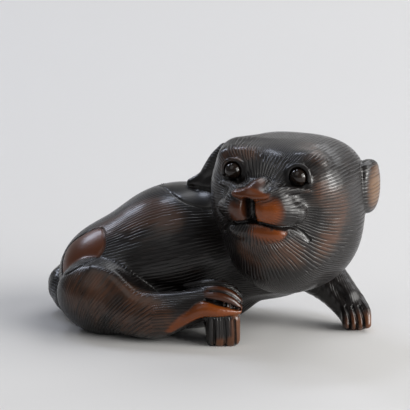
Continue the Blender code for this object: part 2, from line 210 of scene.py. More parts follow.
def nose_and_mouth(form, q):
    """Lip pads parted by a deep split, lower lip, three-cornered nose with a nostril under each wing, and the
    long mouth."""
    for side in (-1, 1):
        pad = [(side * 1.6 - 0.3, -10.15, 2.85, 1.45), (side * 2.9, -9.6, 2.75, 1.4)]
        form = blend(form, limb(q, pad + [(side * 4.6, -8.3, 2.3, 1.1)]), 0.8)
        form = blend(form, egg(q, (side * 1.3, -9.5, -0.1), (2.4, 1.35, 1.1)), 0.7)
    bridge = [(-0.3, -10.9, 4.9, 0.85), (0.0, -10.0, 5.3, 1.0), (0.3, -8.8, 5.6, 0.9)]
    nose = blend(egg(q, (-0.35, -10.9, 4.7), (2.5, 1.25, 0.75)), limb(q, bridge), 1.2)
    form = blend(form, nose, 0.4)
    for side in (-1, 1):
        x = -0.4 + side * 1.5
        nostril = [(x - 0.8, -12.0, 4.0, 0.3), (x, -12.0, 3.9, 0.55), (x + 0.8, -12.0, 4.0, 0.3)]
        form = carve(form, limb(q, nostril), 0.25)
    in_front = q[:, 1] < FRONT_OF_FACE
    split = from_line(q, [0, 2], SPLIT)
    form = engraved(form, only_where(in_front, split), 1.1, 1.2)
    slim = 1 - 0.5 * np.clip(np.abs(q[:, 0]) / 5.5, 0, 1) ** 2
    mouth = from_line(q, [0, 2], both_sides(MOUTH))
    return engraved(form, only_where(in_front, mouth), 0.36, 0.45 * slim)


def hanging_ear(q):
    """The ear on the viewer's right hangs down the side of the head."""
    flap = pillow(q, (8.85, 4.9, 3.2), (0.85, 2.8, 3.2), 2.4)
    return blend(flap, egg(q, (8.4, 4.8, 5.6), (1.1, 2.4, 1.0)), 0.8)


def head(p):
    q = in_head(p)
    return nose_and_mouth(eye_surrounds(blend(skull(q), hanging_ear(q), 0.3), q), q)


def swept_ear(p):
    """The ear on the viewer's left is swept back, and its tip lies on the shoulder."""
    knots = [(1.5, 1.2, 22.1, 0.9), (0.6, 1.5, 20.8, 1.1), (0.0, 1.7, 19.4, 1.3), (-1.0, 2.0, 18.3, 1.0)]
    form = limb(p, knots + [(-2.7, 2.4, 17.6, 0.6)])
    return blend(form, limb(p, [(-1.6, 2.0, 17.3, 0.7), (0.0, 1.4, 17.6, 1.3), (1.6, 0.6, 18.0, 1.6)]), 0.8)


# The trunk: rump, back, chest and neck on a flat belly, then the legs and the tail that lie round it.
FLANK_CREASE = [(-13.9, -5.4, 9.0, 0.3), (-10.6, -5.9, 8.0, 0.4), (-8.3, -5.7, 6.5, 0.5),
                (-4.5, -5.8, 5.9, 0.5)]


def trunk(p):
    """Rump, back, shoulders, neck and belly, hollowed under the chest."""
    form = egg(p, (-11.2, 3.4, 5.4), (8.4, 8.6, 7.4))
    form = blend(form, egg(p, (-4.6, 3.4, 8.8), (9.8, 9.4, 8.4), turned(roll=-18)), 3.5)
    form = blend(form, egg(p, (5.5, 3.4, 9.4), (8.8, 7.8, 7.4)), 3.5)
    form = blend(form, egg(p, (4.5, 2.5, 14.0), (7.0, 6.0, 4.6)), 2.5)
    form = blend(form, egg(p, (-5.6, 3.6, 3.4), (12.0, 9.4, 4.8)), 1.0)
    return carve(form, egg(p, (7.5, -3.0, 0.6), (6.0, 6.5, 3.5)), 1.2)


def near_hind_leg(p):
    """Haunch, shank and long foot, with a ridge along the top, three toes and the sole turned outwards."""
    form = egg(p, (-13.1, -2.9, 4.4), (6.4, 5.2, 5.0), turned(roll=8))
    shank = [(-10.6, -6.0, 3.6, 3.3), (-7.4, -7.8, 3.2, 2.9), (-4.6, -8.8, 3.9, 2.4),
             (-0.9, -9.1, 5.0, 1.9), (1.2, -9.2, 4.7, 1.6)]
    form = blend(form, limb(p, shank), 1.2)
    ridge = [(-14.8, -5.2, 7.8, 1.0), (-12.4, -6.2, 7.3, 1.1), (-10.9, -7.2, 6.1, 1.2), (-9.3, -8.2, 5.1, 1.2),
             (-6.6, -8.8, 5.1, 1.2), (-3.6, -9.6, 5.6, 1.0), (-1.2, -9.8, 6.2, 0.8)]
    form = blend(form, limb(p, ridge), 1.0)
    toes = np.full(len(p), np.inf)
    for n in range(3):
        y = -10.4 + 0.9 * n
        z = 6.2 + 0.58 * n
        toe = [(-3.4, y + 1.0, z - 0.5, 0.3), (-1.2, y + 0.2, z, 0.5), (0.6, y, z, 0.6),
               (2.1, y + 0.1, z - 0.5, 0.55), (3.1, y + 0.4, z - 1.4, 0.45)]
        toes = np.minimum(toes, limb(p, toe))
    form = blend(form, toes, 0.15)
    sole = [(-5.4, -9.6, 1.9, 0.5), (-4.2, -10.3, 3.0, 0.65), (-2.6, -10.8, 4.1, 0.75), (-1.2, -10.9, 4.8, 0.95),
            (0.4, -11.1, 4.65, 0.75), (2.0, -10.9, 4.5, 0.5), (3.1, -10.4, 4.4, 0.35)]
    form = blend(form, limb(p, sole), 0.4)
    slot = from_line(p, [0, 2], [(-0.9, 6.0), (0.57, 5.72), (1.8, 5.2), (3.2, 4.7)])
    return engraved(form, only_where(p[:, 1] < -8.5, slot), 0.26, 0.34)


def near_fore_leg(p):
    """Short leg that ends in a square paw under the chin."""
    paw = slab(p, (1.2, -8.4, 2.05), (2.1, 2.55, 2.2), 1.0)
    return blend(paw, limb(p, [(1.0, -8.0, 1.9, 1.7), (0.4, -4.0, 3.2, 2.2), (1.0, 0.0, 5.0, 2.8)]), 1.0)


def far_fore_leg(p):
    """Leg that reaches out and down to a paw with four toes."""
    form = limb(p, [(11.5, 3.0, 7.5, 3.6), (14.4, 1.0, 5.4, 2.7), (16.6, -0.8, 3.4, 2.1)])
    form = blend(form, limb(p, [(16.4, -0.6, 3.4, 1.9), (17.6, -1.6, 1.9, 1.9)]), 0.8)
    form = blend(form, egg(p, (17.9, -2.5, 1.2), (1.8, 1.4, 1.6)), 0.5)
    wrist = [(14.6, -2.0, 6.2, 0.4), (15.7, -2.6, 4.8, 0.6), (16.8, -3.4, 3.4, 0.4)]
    form = carve(form, limb(p, wrist), 0.7)
    toes = np.full(len(p), np.inf)
    for x in (16.6, 17.45, 18.3, 19.1):
        toe = [(x - 0.7, -1.2, 3.5, 0.6), (x, -2.9, 2.4, 0.62), (x + 0.1, -3.7, 0.9, 0.56)]
        toes = np.minimum(toes, limb(p, toe))
    return blend(form, toes, 0.6)


def far_hind_leg(p):
    """Haunch with the foot laid forward along the ground."""
    foot = [(-8.0, 11.6, 2.6, 2.6), (-3.4, 12.6, 2.0, 2.1), (0.4, 12.4, 1.6, 1.9)]
    return blend(egg(p, (-11.5, 9.4, 4.8), (6.6, 4.6, 5.2)), limb(p, foot), 1.2)


def tail(p):
    """The tail comes from the far side and is pressed round the back of the rump."""
    knots = [(-15.6, 10.6, 5.2, 1.6), (-17.2, 8.6, 4.4, 2.0), (-18.75, 5.8, 3.7, 2.4), (-18.3, 3.3, 2.6, 2.0)]
    return limb(p, knots)


def toe_grooves(form, p):
    """Cuts down the front of each fore paw."""
    near_paw = (p[:, 1] < -9.0) & (p[:, 2] < 4.4)
    for x, width in ((2.65, 0.3), (1.45, 0.4), (0.15, 0.3)):
        groove = from_line(p, [0, 2], [(x, -1), (x, 1.5), (x - 0.1, 3.4)])
        form = engraved(form, only_where(near_paw, groove), 0.8 * width, 0.24)
    far_paw = (p[:, 1] < -2.5) & (p[:, 0] > 14)
    for x in (17.05, 17.9, 18.75):
        groove = from_line(p, [0, 2], [(x + 0.1, -1), (x, 1.5), (x - 0.5, 3.0)])
        form = engraved(form, only_where(far_paw, groove), 0.24, 0.2)
    return form


# Two smooth panels, each with a fine line cut round it: one on the rump, one on the shoulder by the head.
RUMP_PANEL = [(-16.8, 2.0, 10.6), (-14.9, 1.5, 11.6), (-13.6, 0.3, 11.8), (-13.3, -2.05, 10.7),
              (-14.0, -3.1, 9.6), (-16.3, -4.5, 8.8), (-18.2, -4.2, 7.5), (-19.2, -2.4, 7.3),
              (-19.5, 0.4, 7.7), (-18.6, 2.4, 9.2)]
SHOULDER_PANEL = [(-6.6, 4.1, 16.3), (-5.3, 0.7, 16.3), (-3.8, -1.2, 15.7), (-2.1, -1.8, 15.15),
                  (0.4, -2.0, 15.0), (2.0, 0.0, 17.0), (0.0, 4.5, 18.0), (-4.5, 6.5, 17.2)]


def panel_edge(p, outline):
    """Distance from a closed outline, less than nought inside it, seen square to the plane that fits it."""
    knots = np.array(outline)
    centre = knots.mean(axis=0)
    axes = np.linalg.svd(knots - centre)[2]
    flat = (p - centre) @ axes.T
    ring = (curve_through(outline + outline[:1], 3)[:-1] - centre) @ axes.T
    inside = np.zeros(len(p), bool)
    nearest = np.full(len(p), np.inf)
    for start, end in zip(ring, np.roll(ring, -1, axis=0)):
        run = (end - start)[:2]
        from_start = flat[:, :2] - start[:2]
        t = np.clip(from_start @ run / (run @ run), 0, 1)
        nearest = np.minimum(nearest, np.linalg.norm(from_start - t[:, None] * run, axis=1))
        straddles = (start[1] > flat[:, 1]) != (end[1] > flat[:, 1])
        across = start[0] + (flat[:, 1] - start[1]) * run[0] / (run[1] if run[1] else 1e-9)
        inside ^= straddles & (flat[:, 0] < across)
    return only_where(np.abs(flat[:, 2]) < 3, np.where(inside, -nearest, nearest))


def cord_channel(p):
    """Curved channel between the wide hole and the narrow one under the belly."""
    knots = [(-11.0, 3.5, -2.0, 3.7), (-11.0, 3.5, 2.8, 3.7), (-5.4, 3.5, 5.6, 3.0), (-1.2, 3.5, 1.6, 2.3)]
    return limb(p, knots + [(-1.2, 3.5, -2.0, 2.3)], steps=4)


PARTS = [trunk, head, near_hind_leg, near_fore_leg, far_fore_leg, far_hind_leg, tail, swept_ear]


def puppy(p):
    """The whole carved form, negative inside the wood, cut flat where it stands."""
    q = in_head(p)
    form = carve(blend(trunk(p), far_fore_leg(p), 1.2), limb(p, FLANK_CREASE), 0.8)
    form = blend(form, near_fore_leg(p), 1.0)
    form = blend(form, near_hind_leg(p), 0.6)
    form = blend(form, far_hind_leg(p), 0.6)
    form = blend(form, tail(p), 0.3)
    form = blend(form, swept_ear(p), 0.3)
    form = blend(form, head(p), 0.3)
    form = toe_grooves(form, p)
    for outline in (RUMP_PANEL, SHOULDER_PANEL):
        form = engraved(form, np.abs(panel_edge(p, outline)), 0.24, 0.14)
    form = carve(form, cord_channel(p), 0.4)
    for side in (-1, 1):
        form = np.maximum(form, SOCKET - np.linalg.norm(q - EYE * (side, 1, 1), axis=1))
    return np.maximum(form, -p[:, 2])


def sampled(field, low, high, cell, skip=4):
    """Grid points and the field at them. Far from the surface a point takes its coarse neighbour's value."""
    axes = [low[i] + cell * np.arange(skip * math.ceil((high[i] - low[i]) / cell / skip)) for i in range(3)]
    grid = np.stack(np.meshgrid(*axes, indexing="ij"), axis=-1)
    middle = skip // 2
    coarse = grid[middle::skip, middle::skip, middle::skip]
    value = field(coarse.reshape(-1, 3)).reshape(coarse.shape[:3])
    for axis in range(3):
        value = value.repeat(skip, axis=axis)
    near = np.abs(value) < 1.3 * skip * cell
    value[near] = field(grid[near])
    return grid, value


CORNERS = [(i, j, k) for i in (0, 1) for j in (0, 1) for k in (0, 1)]


def joined(corners):
    """Whether these corners of a cell are joined to each other by edges of the cell."""
    reached = set(corners[:1])
    for _ in corners:
        reached |= {c for c in corners for r in reached if sum(a != b for a, b in zip(c, r)) == 1}
    return len(reached) == len(corners)


def crossed_twice(code):
    """Whether the surface would pass twice through a cell whose inner corners are the code's bits."""
    inner = [c for bit, c in enumerate(CORNERS) if code >> bit & 1]
    outer = [c for c in CORNERS if c not in inner]
    faces = [[c for c in CORNERS if c[axis] == side] for axis in range(3) for side in (0, 1)]
    on_faces = [[c for c in face if c in inner] for face in faces]
    split = any(len(pair) == 2 and not joined(pair) for pair in on_faces)
    return split or not joined(inner) or not joined(outer)


def single_walled(value):
    """The grid's values with wood in each cell that would be crossed twice, so that the surface can't touch
    itself."""
    table = np.array([crossed_twice(code) for code in range(2 ** len(CORNERS))])
    inside = value < 0
    views = [tuple(slice(o, n - 1 + o) for o, n in zip(corner, value.shape)) for corner in CORNERS]
    while True:
        code = sum(inside[view].astype(np.uint16) << bit for bit, view in enumerate(views))
        twice = table[code]
        if not twice.any():
            return np.where(inside & (value >= 0), -1e-3, value)
        for view in views:
            inside[view] |= twice


def wrapped(field, low, high, cell):
    """Surface nets: each cell that the surface crosses gets a corner, at the mean of the crossings on its
    edges, and each crossed edge of the grid gets two triangles between the four cells round it."""
    grid, value = sampled(field, low, high, cell)
    value = single_walled(value)
    cells = [n - 1 for n in value.shape]
    total, count = np.zeros(cells + [3]), np.zeros(cells)
    rings = []
    for axis in range(3):
        lower = tuple(slice(0, -1) if a == axis else slice(None) for a in range(3))
        upper = tuple(slice(1, None) if a == axis else slice(None) for a in range(3))
        crossed = (value[lower] < 0) != (value[upper] < 0)
        start, end = value[lower][crossed], value[upper][crossed]
        point = grid[lower][crossed]
        point[:, axis] += cell * start / (start - end)
        first, second = (a for a in range(3) if a != axis)
        ring = []
        for back_first, back_second in ((0, 0), (1, 0), (1, 1), (0, 1)):
            corner = np.argwhere(crossed)
            corner[:, first] -= back_first
            corner[:, second] -= back_second
            np.add.at(total, tuple(corner.T), point)
            np.add.at(count, tuple(corner.T), 1)
            ring.append(corner)
        rings.append((np.stack(ring), (start < 0) == (axis != 1)))
    number = np.cumsum(count.ravel() > 0).reshape(cells) - 1
    points = total[count > 0] / count[count > 0][:, None]
    faces = []
    for ring, reverse in rings:
        four = number[tuple(np.moveaxis(ring, -1, 0))].T
        four = np.where(reverse[:, None], four, four[:, ::-1])
        faces += [four[:, :3], four[:, [0, 2, 3]]]
    return points, np.vstack(faces)


def slope_of(field, p, step=0.02):
    """The field's value and its slope, by small steps along X, Y and Z."""
    value = field(p)
    return value, np.stack([(field(p + step * d) - value) / step for d in np.eye(3)], axis=1)


def settled(field, p, most=0.3):
    """Each point moved along the slope on to the surface: one step of Newton's method."""
    value, slope = slope_of(field, p)
    move = -(value / np.maximum((slope * slope).sum(axis=1), 0.1))[:, None] * slope
    size = np.linalg.norm(move, axis=1, keepdims=True)
    return p + move * np.minimum(1, most / np.maximum(size, 1e-9))


def refined(field, points, faces, off, shortest):
    """Halves each edge whose middle lies further than off from the surface, moves the new points on to it,
    and splits each triangle into one more than it has halved edges."""
    ends = np.sort(np.stack([faces, np.roll(faces, -1, axis=1)], axis=-1), axis=-1)
    edges, which = np.unique(ends.reshape(-1, 2), axis=0, return_inverse=True)
    which = which.reshape(faces.shape)
    middle = points[edges].mean(axis=1)
    far = np.linalg.norm(points[edges[:, 0]] - points[edges[:, 1]], axis=1) > shortest
    far[far] = np.abs(field(middle[far])) > off
    number = np.full(len(edges), -1)
    number[far] = len(points) + np.arange(far.sum())
    cut = far[which]
    count = cut.sum(axis=1)
    turn = np.where(count == 1, cut.argmax(axis=1), np.where(count == 2, cut.argmin(axis=1) + 1, 0))
    order = (turn[:, None] + np.arange(3)) % 3
    a, b, c = np.take_along_axis(faces, order, axis=1).T
    ab, bc, ca = np.take_along_axis(number[which], order, axis=1).T
    shares = [[(a, b, c)], [(a, ab, c), (ab, b, c)], [(ab, b, bc), (a, ab, bc), (a, bc, c)],
              [(a, ab, ca), (ab, b, bc), (ca, bc, c), (ab, bc, ca)]]
    kept = [np.stack(three, axis=1)[count == n] for n, share in enumerate(shares) for three in share]
    return np.vstack([points, settled(field, middle[far])]), np.vstack(kept)


puppy_points, puppy_faces = wrapped(puppy, GRID_LOW, GRID_HIGH, CELL)
puppy_points = settled(puppy, puppy_points)
NEAR_ENOUGH = 0.012
for finest in (0.3, 0.15, 0.1):
    puppy_points, puppy_faces = refined(puppy, puppy_points, puppy_faces, NEAR_ENOUGH, finest)
puppy_points[:, 2] = np.maximum(puppy_points[:, 2], 0)

# The cut hair. Each face knows which part of the puppy it lies on, and its corners get the number of the hair
# line that they lie on, how far along it they are, and how deep the hair is cut there.
PITCH = 0.36
LINES_ROUND = 128
FAN_RADIUS = 12
FACE_POLE = np.array([0, -11, 3.5])
SPINE = (3.4, 9.3, 0.22)


def hair_round(angle, away):
    """Lines that spread from a pole: line number = angle / turn x 128, halved or doubled with the distance,
    so that they stay about a PITCH apart."""
    turn = 2 * math.pi
    angle = angle - turn * np.round((angle - angle[:, :1]) / turn)
    level = np.round(np.log2(np.maximum(away, 0.6) * turn / LINES_ROUND / PITCH))
    return angle / turn * LINES_ROUND * 2 ** level[:, None]


def hair_on(part, p, middle):
    """Line number and distance along it, for the corners p (faces, 3, 3) of one part with those face middles.
    The lines spread from the nose on the head, run round the spine on the trunk, fan out over the haunches
    from a point behind them, and lie side by side elsewhere."""
    x, y, z = np.moveaxis(p, -1, 0)
    if part is head:
        from_pole = in_head(p) - FACE_POLE
        m = in_head(middle) - FACE_POLE
        lines = hair_round(np.arctan2(from_pole[:, :, 0], from_pole[:, :, 2]), np.hypot(m[:, 0], m[:, 2]))
        return lines, np.linalg.norm(from_pole, axis=-1)
    if part is trunk:
        spine_y, spine_z, climb = SPINE
        rise = z - spine_z - climb * x
        away = np.hypot(middle[:, 1] - spine_y, middle[:, 2] - spine_z - climb * middle[:, 0])
        return hair_round(np.arctan2(y - spine_y, rise), away), x + 0.2 * z
    if part in (near_hind_leg, far_hind_leg):
        lean = 0.7 * (y - 9.8) if part is far_hind_leg else -0.7 * (y + 3)
        s = x + lean + 18.4
        t = z + 6.0
        on_foot = (part is near_hind_leg) & (middle[:, 0] > -7.5)[:, None]
        lines = np.where(on_foot, (z + 0.7 * y) / PITCH, np.arctan2(s, t) * FAN_RADIUS / PITCH)
        return lines, np.where(on_foot, x, np.hypot(s, t))
    if part in (near_fore_leg, far_fore_leg):
        return (x + 0.7 * y) / PITCH, z - y
    return (z + 0.2 * x) / PITCH, y - x


face_middles = puppy_points[puppy_faces].mean(axis=1)
part_of_face = np.argmin([part(face_middles) for part in PARTS], axis=0)
hair_lines = np.zeros((len(puppy_faces), 3, 3))
for index, part in enumerate(PARTS):
    mine = part_of_face == index
    corners = puppy_points[puppy_faces[mine]]
    hair_lines[mine, :, :2] = np.stack(hair_on(part, corners, face_middles[mine]), axis=-1)


def soft(distance, reach):
    """1 inside a form and 0 beyond the reach outside it, with a smooth fall between: 3 t^2 - 2 t^3."""
    t = np.clip(1 - distance / reach, 0, 1)
    return t * t * (3 - 2 * t)


def most(*masks):
    return np.max(masks, axis=0)


# Where the wood is smooth, worn, warm or darkened by painted shade: p is each point of the puppy, and q is that
# point in the head's frame. A point is hollow when a short step out along its normal ends near other wood, and
# hollows get painted shade.
p = puppy_points
q = in_head(p)
_, normal = slope_of(puppy, p)
normal /= np.maximum(np.linalg.norm(normal, axis=1, keepdims=True), 1e-9)
STEP_OUT = 0.7
hollow = np.clip(1 - puppy(p + STEP_OUT * normal) / STEP_OUT, 0, 1)

nose = soft(limb(q, [(-2.6, -11.6, 4.6, 0.4), (-0.4, -12.0, 4.9, 0.8), (1.8, -11.6, 4.6, 0.4)]), 0.6)
bridge = soft(limb(q, [(-0.3, -11.4, 5.3, 1.1), (0.1, -10.2, 6.0, 0.7)]), 0.9)
right_pad = limb(q, [(0.9, -11.5, 2.8, 0.8), (2.0, -11.3, 2.8, 0.8)])
right_lip = soft(right_pad, 1.9)
left_lip = soft(egg(q, (-1.9, -11.4, 2.7), (0.8, 1.4, 1.2)), 1.2)
lower_edge = limb(q, [(0.6, -10.9, 0.2, 0.3), (1.6, -10.8, 0.0, 0.4), (2.8, -10.2, -0.1, 0.3)])
lower_lip = soft(lower_edge, 1.8)
lip_edge = soft(lower_edge, 0.8)
whisker_pad = soft(egg(q, (3.9, -10.0, 3.0), (1.6, 1.8, 1.6)), 1.2)
mouth_line = only_where(q[:, 1] < FRONT_OF_FACE, from_line(q, [0, 2], both_sides(MOUTH)))
mouth = soft(mouth_line - 0.1, 0.2)
parting = soft(only_where(q[:, 1] < -8, from_line(q, [0, 2], SPLIT)) - 0.35, 0.4)
nostrils = soft(limb(q, [(-2.5, -12.0, 3.9, 0.3), (1.6, -12.0, 3.9, 0.3)]), 0.3)
ear_rim = soft(egg(q, (10.6, 4.9, 3.4), (0.9, 3.4, 4.2)), 0.9)
sole_line = [(-5.4, -10.4, 2.0, 0.2), (-4.2, -11.0, 3.0, 0.4), (-2.6, -11.6, 4.1, 0.6), (-1.2, -11.8, 4.9, 1.0),
             (0.4, -11.9, 4.6, 0.8), (2.0, -11.5, 4.5, 0.6), (3.2, -10.8, 4.4, 0.5)]
sole = soft(limb(p, sole_line), 0.6)
hind_toes = soft(limb(p, [(0.2, -10.6, 6.8, 1.0), (2.0, -10.4, 6.4, 1.1), (3.2, -10.0, 5.2, 0.9)]), 0.8)
near_toes = soft(limb(p, [(2.9, -10.8, 3.4, 0.5), (3.1, -10.9, 0.8, 0.7), (0.6, -11.0, 0.3, 0.4)]), 0.8)
far_toes = soft(slab(p, (18.6, -4.2, 0.8), (1.3, 1.2, 0.8), 0.5), 1.8)
crown = soft(9.6 - q[:, 2], 1.0)
far_leg = soft(14.0 - p[:, 0], 2.0) * soft(p[:, 2] - 6.0, 1.0)
upper_back = soft(12.2 - p[:, 2], 3.0) * soft(p[:, 0] - 0.5, 1.5)
upper_thigh = soft(egg(p, (-14.0, -5.6, 7.0), (3.6, 3.0, 2.2)), 1.6)
thigh_line = [(-14.8, -6.0, 8.4, 0.3), (-12.4, -7.1, 7.9, 0.3), (-10.9, -8.3, 6.5, 0.3), (-9.3, -9.2, 5.6, 0.3),
              (-6.6, -9.9, 5.6, 0.3)]
thigh_ridge = soft(limb(p, thigh_line), 0.8)
rump_panel = soft(panel_edge(p, RUMP_PANEL), 0.25) * soft(trunk(p) - near_hind_leg(p), 0.4)
shoulder_panel = soft(panel_edge(p, SHOULDER_PANEL), 0.25)
socket_rims = most(*(soft(np.linalg.norm(q - EYE * (side, 1, 1), axis=1) - 1.7, 0.5) for side in (-1, 1)))
underneath = soft(p[:, 2] - 0.3, 0.4)
channel = soft(cord_channel(p) - 0.3, 0.4)
bald = most(nose, bridge, soft(right_pad, 1.0), left_lip, lip_edge, mouth, 0.4 * ear_rim, sole, hind_toes,
            near_toes, far_toes, rump_panel, shoulder_panel, socket_rims, underneath, channel, 0.55 * crown,
            0.85 * far_leg, 0.8 * thigh_ridge, 0.6 * upper_back, 0.7 * upper_thigh, 0.6 * whisker_pad)
hair_lines[:, :, 2] = (1 - bald)[puppy_faces]

worn = most(0.55 * nose, 0.3 * bridge, right_lip, 0.36 * left_lip, 0.8 * lower_lip, 0.7 * sole, 0.3 * hind_toes,
            0.45 * near_toes, 0.5 * far_toes, 0.5 * rump_panel, 0.6 * ear_rim)
pale = most(ear_rim, 0.35 * near_toes, 0.35 * far_toes)
cheek = soft(limb(q, [(7.2, -6.4, 5.0, 0.6), (8.3, -4.6, 2.0, 1.0), (7.4, -5.0, -1.6, 0.8)]), 2.6)
temple = soft(limb(q, [(3.4, -2.5, 9.4, 0.5), (6.0, -5.6, 7.6, 0.8), (7.4, -6.0, 5.4, 0.6)]), 2.0)
forehead = soft(limb(q, [(-6.4, -7.0, 6.6, 0.4), (-5.4, -7.0, 8.4, 0.8), (-2.6, -6.6, 9.2, 0.8)]), 1.6)
beard = soft(egg(q, (1.5, -9.4, -2.6), (3.6, 2.4, 1.6)), 2.6)
haunch_line = [(-16.6, -5.8, 6.0, 1.2), (-13.4, -7.6, 5.0, 2.4), (-9.6, -9.6, 3.8, 1.8), (-6.6, -10.6, 3.4, 1.0)]
haunch = soft(limb(p, haunch_line), 2.4)
back_line = [(-14.6, 0.4, 11.8, 0.8), (-11.6, -0.4, 13.6, 1.4), (-8.0, -1.6, 14.8, 1.4), (-5.2, -3.2, 14.0, 0.8)]
back = soft(limb(p, back_line), 2.2)
warm = most(0.8 * cheek, 0.6 * temple, 0.7 * forehead, 0.75 * beard, 0.85 * haunch, 0.85 * back)
# dark is painted shade: the hollows, a ring round each eye socket, the mouth, the split of the lip and the
# nostrils are darkened.
dark = most(hollow * (1 - 0.3 * socket_rims), 0.3 * socket_rims, mouth, parting, 0.9 * nostrils)
tones = np.stack([worn, warm, dark], axis=1)

puppy_mesh = bpy.data.meshes.new("polished_puppy")
in_place = np.clip((p - MIDDLE) * MM, cad_low, cad_high)
puppy_mesh.from_pydata(in_place.tolist(), [], puppy_faces.tolist())
puppy_mesh.shade_smooth()
for name, domain, values in (("hair_lines", "CORNER", hair_lines), ("tones", "POINT", tones)):
    attribute = puppy_mesh.attributes.new(name, "FLOAT_VECTOR", domain)
    attribute.data.foreach_set("vector", values.ravel().astype(np.float32))
attribute = puppy_mesh.attributes.new("pale", "FLOAT", "POINT")
attribute.data.foreach_set("value", pale.astype(np.float32))
polished_puppy = bpy.data.objects.new("polished_puppy", puppy_mesh)
bpy.context.scene.collection.objects.link(polished_puppy)


class Value:
    """A socket of a material. The signs + - * / and ** on it add Math nodes, and node() adds any other node."""

    def __init__(self, tree, socket=None):
        self.tree, self.socket = tree, socket

    def node(self, kind, settings=(), inputs=(), output=0):
        made = self.tree.nodes.new(kind)
        for name, setting in dict(settings).items():
            setattr(made, name, setting)
        for key, value in dict(inputs).items():
            if isinstance(value, Value):
                self.tree.links.new(value.socket, made.inputs[key])
            else:
                made.inputs[key].default_value = value
        return Value(self.tree, made.outputs[output])

    def also(self, output):
        """Another output of the same node."""
        return Value(self.tree, self.socket.node.outputs[output])

    def maths(self, operation, *values):
        return self.node("ShaderNodeMath", {"operation": operation}, enumerate(values))

    def __add__(self, other):
        return self.maths("ADD", self, other)

    def __sub__(self, other):
        return self.maths("SUBTRACT", self, other)

    def __rsub__(self, other):
        return self.maths("SUBTRACT", other, self)

    def __mul__(self, other):
        return self.maths("MULTIPLY", self, other)

    def __truediv__(self, other):
        return self.maths("DIVIDE", self, other)

    def __pow__(self, other):
        return self.maths("POWER", self, other)

    __radd__, __rmul__ = __add__, __mul__

    def between(self, low, high):
        """0 at low and 1 at high, smooth between them and flat outside."""
        settings = {"interpolation_type": "SMOOTHSTEP"}
        return self.node("ShaderNodeMapRange", settings, {"Value": self, "From Min": low, "From Max": high})

    def noise(self, scale, detail=2.0, dimensions="3D"):
        """Soft noise between 0 and 1 at this vector."""
        inputs = {"Vector": self, "Scale": scale, "Detail": detail}
        return self.node("ShaderNodeTexNoise", {"noise_dimensions": dimensions}, inputs)

    def tint(self, first, second):
        """The first colour where this is 0 and the second where it is 1."""
        inputs = {0: self, 6: first, 7: second}
        return self.node("ShaderNodeMix", {"data_type": "RGBA"}, inputs, output=2)


def new_finish(name):
    """A material's empty tree as a Value, its shader node, and the material."""
    made = bpy.data.materials.new(name)
    made.use_nodes = True
    return made, Value(made.node_tree), made.node_tree.nodes["Principled BSDF"]


def feed(shader, **values):
    """Puts numbers, colours or links into the shader's sockets, whose names have _ for a space."""
    for name, value in values.items():
        socket = shader.inputs[name.replace("_", " ")]
        if isinstance(value, Value):
            value.tree.links.new(value.socket, socket)
        else:
            socket.default_value = value


BLACK_STAIN = (0.007, 0.005, 0.0045, 1)
BROWN_STAIN = (0.044, 0.021, 0.011, 1)
RED_WOOD = (0.080, 0.030, 0.013, 1)
ORANGE_WOOD = (0.19, 0.042, 0.003, 1)
TAN_WOOD = (0.20, 0.105, 0.045, 1)

stained_wood, wood, wood_shader = new_finish("stained_wood")
place = wood.node("ShaderNodeTexCoord", output="Object")
tone_vector = wood.node("ShaderNodeAttribute", {"attribute_name": "tones"}, output="Vector")
worn_wood = wood.node("ShaderNodeSeparateXYZ", inputs={0: tone_vector})
warm_wood = worn_wood.also(1)
# The third tone is painted shade: the hollows, the mouth, the split of the lip and the nostrils.
painted_recess_shade = worn_wood.also(2)
pale_wood = wood.node("ShaderNodeAttribute", {"attribute_name": "pale"}, output="Fac")
hair_vector = wood.node("ShaderNodeAttribute", {"attribute_name": "hair_lines"}, output="Vector")
line = wood.node("ShaderNodeSeparateXYZ", inputs={0: hair_vector})
along = line.also(1)
depth = line.also(2)

patches = place.noise(220, 3)
waver = place.noise(700, 2)
line = line + (waver - 0.5) * 0.45
number = line.maths("FLOOR", line)
across = line - number
beside = number * 7.31
stroke_place = wood.node("ShaderNodeCombineXYZ", inputs={0: beside, 1: along * 0.4, 2: 0.0})
strokes = stroke_place.noise(1.0, 1, "2D").between(0.32, 0.5)
groove = (1 - wood.maths("ABSOLUTE", across - 0.5) * 2.0).between(0.35, 0.9)
cut = groove * (strokes * 0.75 + 0.25) * depth

streak_place = wood.node("ShaderNodeCombineXYZ", inputs={0: number * 3.17, 1: along * 0.35, 2: 0.0})
streak = streak_place.noise(1.0, 1, "2D")
rubbed = (patches * 0.7 + streak * 0.3 + warm_wood * 0.5 - painted_recess_shade * 0.6).between(0.54, 0.96)
stain = rubbed.tint(BLACK_STAIN, BROWN_STAIN)
red = (warm_wood * (patches + streak * 0.7)).between(0.42, 1.0)
colour = red.tint(stain, RED_WOOD)
bare = (worn_wood * (0.7 + patches * 0.6) - painted_recess_shade * 0.4).between(0.02, 0.95)
colour = bare.tint(colour, pale_wood.tint(ORANGE_WOOD, TAN_WOOD))
# Painted shade: the hollows, mouth, split and nostrils are darkened towards black, together with stain in the
# cut hair grooves.
groove_stain_and_painted_shade = (cut * 0.75 + painted_recess_shade * 0.8).between(0.1, 1.0)
colour = (groove_stain_and_painted_shade * 0.85).tint(colour, BLACK_STAIN)
HAIR_DEPTH = 0.00009
relief = {"Strength": 1.0, "Distance": HAIR_DEPTH, "Height": 0 - cut}
bump = wood.node("ShaderNodeBump", inputs=relief, output="Normal")
feed(wood_shader, Base_Color=colour, Roughness=0.24 + cut * 0.2 + patches * 0.1, Normal=bump, IOR=1.48,
     Coat_Weight=0.12 - bare * 0.12, Coat_Roughness=0.08)
puppy_mesh.materials.append(stained_wood)
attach(polished_puppy, "root")
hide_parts("carved_puppy")


# The eyes
# Round beads of dark horn, turned and polished, each pressed into a socket drilled in the face.
EYE_RADIUS = 1.05


